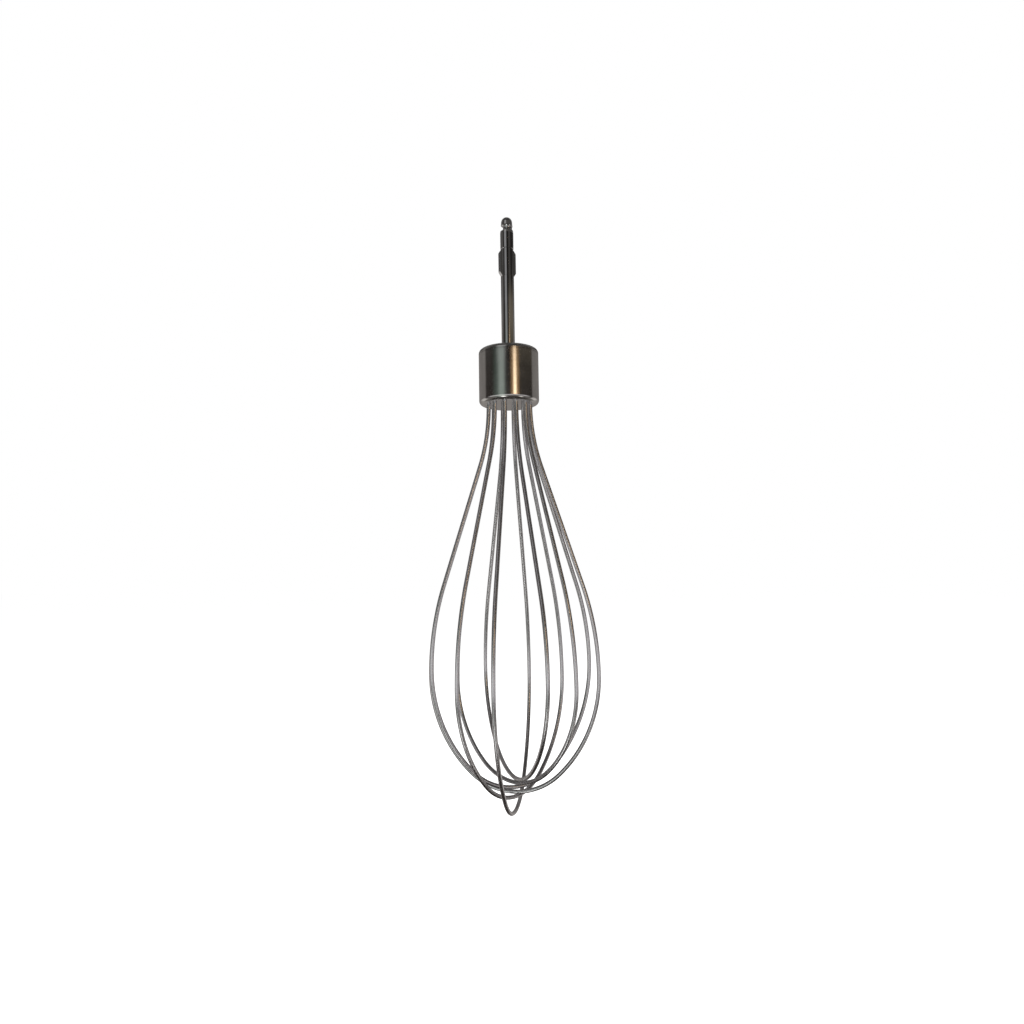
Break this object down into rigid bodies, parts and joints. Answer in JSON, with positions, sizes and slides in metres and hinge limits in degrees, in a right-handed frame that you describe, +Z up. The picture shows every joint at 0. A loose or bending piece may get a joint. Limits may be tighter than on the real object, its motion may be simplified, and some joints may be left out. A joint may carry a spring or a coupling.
{
  "type": "balloon whisk attachment",
  "caption": "Balloon whisk for a hand mixer: round drive shaft with ball tip and side lugs, steel collar, and crossed wire loops that form a cage.",
  "frame": {"origin": "on the drive shaft's axis, halfway along the plain seat between the drive lugs and the tip", "axes": "+Z up the drive shaft towards its tip, away from the wire balloon; X and Y across, with the wire loops' planes at 15 degrees either side of each"},
  "size_m": [0.0702, 0.078, 0.2527],
  "materials": {
    "shaft_steel": "ground and polished round bar",
    "collar_steel": "drawn sheet, fine satin",
    "wire_steel": "drawn wire, polished",
    "fastener_steel": "plain",
    "holder_plastic": "moulded, natural"
  },
  "bodies": {
    "root": {"drive_shaft": "shaft_steel", "collar_cup": "collar_steel", "collar_cap": "collar_steel", "wire_holder": "holder_plastic", "drive_pin": "fastener_steel", "clamp_plate": "fastener_steel", "retaining_clip": "fastener_steel", "wire_loop_1": "wire_steel", "wire_loop_2": "wire_steel", "wire_loop_3": "wire_steel", "wire_loop_4": "wire_steel", "wire_loop_5": "wire_steel", "wire_loop_6": "wire_steel"}
  },
  "joints": []
}
